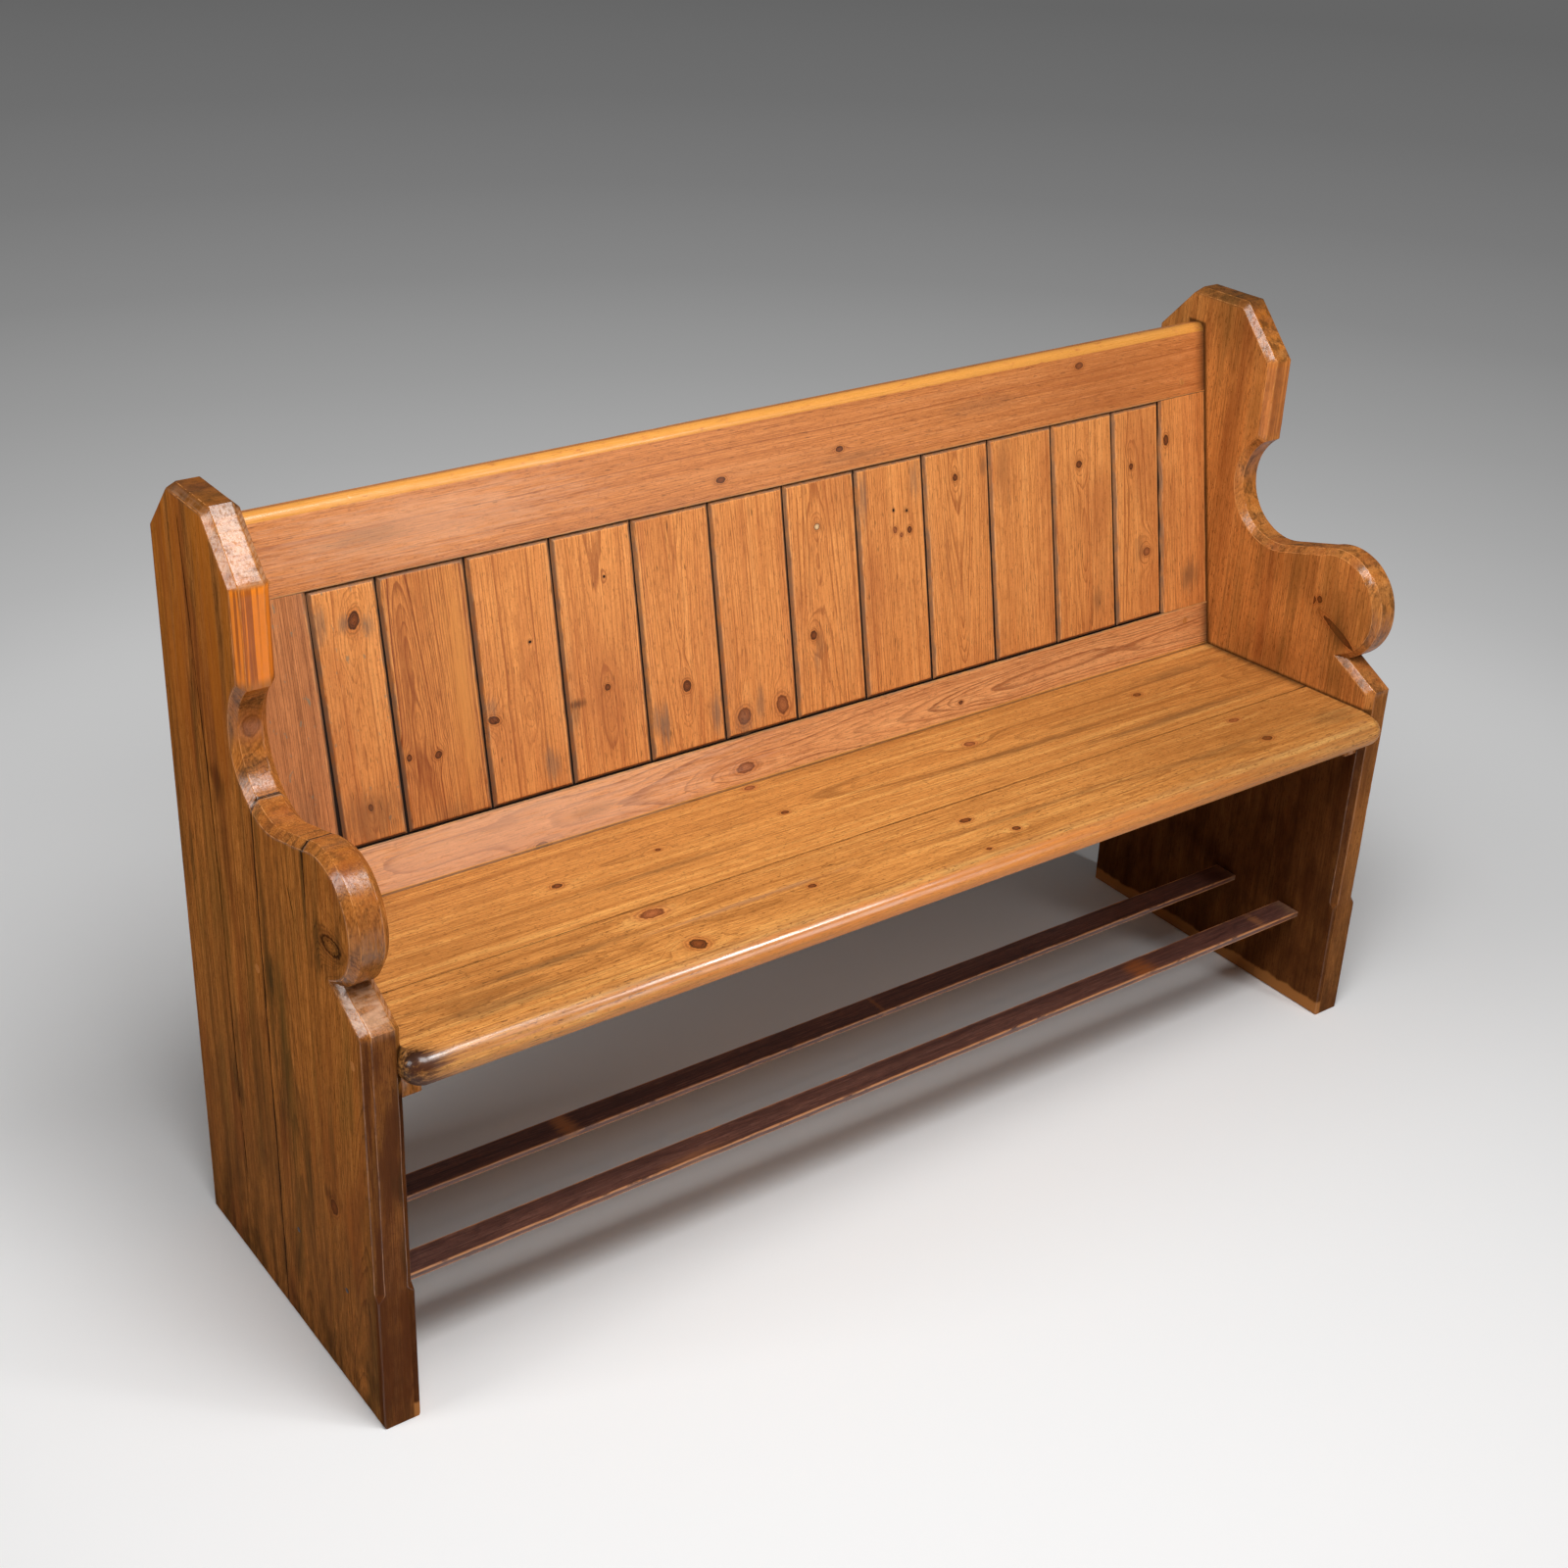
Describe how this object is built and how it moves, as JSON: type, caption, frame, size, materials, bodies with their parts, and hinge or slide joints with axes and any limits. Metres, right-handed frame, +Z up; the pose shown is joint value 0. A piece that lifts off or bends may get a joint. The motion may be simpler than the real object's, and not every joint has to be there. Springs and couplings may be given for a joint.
{
  "type": "hall bench",
  "caption": "Pine hall bench with scrolled plank ends, a raked back of matched boards in a pegged frame, a round-nosed fixed seat and low laths beneath it.",
  "frame": {"origin": "on the floor, under the middle of the bench's box", "axes": "+X along the bench, +Y from the seat's nose to the rear, +Z up"},
  "size_m": [1.44, 0.4576, 0.912],
  "materials": {
    "end_pine": "aged brown pine, waxed",
    "back_pine": "honey pine, waxed",
    "seat_pine": "honey pine, waxed and worn",
    "stained_lath": "dark stain, worn arrises",
    "peg_wood": "end grain, waxed",
    "iron_fixing": "dark iron"
  },
  "bodies": {
    "root": {"back_board_01": "back_pine", "back_board_02": "back_pine", "back_board_03": "back_pine", "back_board_04": "back_pine", "back_board_05": "back_pine", "back_board_06": "back_pine", "back_board_07": "back_pine", "back_board_08": "back_pine", "back_board_09": "back_pine", "back_board_10": "back_pine", "back_board_11": "back_pine", "back_board_12": "back_pine", "back_bottom_rail": "back_pine", "back_frame_pegs": "peg_wood", "back_left_stile": "back_pine", "back_right_stile": "back_pine", "back_top_rail": "back_pine", "bearer_screws": "iron_fixing", "front_foot_lath": "stained_lath", "lath_nails": "iron_fixing", "left_end_dowels": "peg_wood", "left_end_front_board": "end_pine", "left_end_middle_board": "end_pine", "left_end_rear_board": "end_pine", "left_seat_bearer": "end_pine", "rear_foot_lath": "stained_lath", "right_end_dowels": "peg_wood", "right_end_front_board": "end_pine", "right_end_middle_board": "end_pine", "right_end_rear_board": "end_pine", "right_seat_bearer": "end_pine", "seat_front_board": "seat_pine", "seat_joint_tongue": "peg_wood", "seat_rear_board": "seat_pine", "seat_screw_plugs": "peg_wood", "seat_screws": "iron_fixing"}
  },
  "joints": []
}
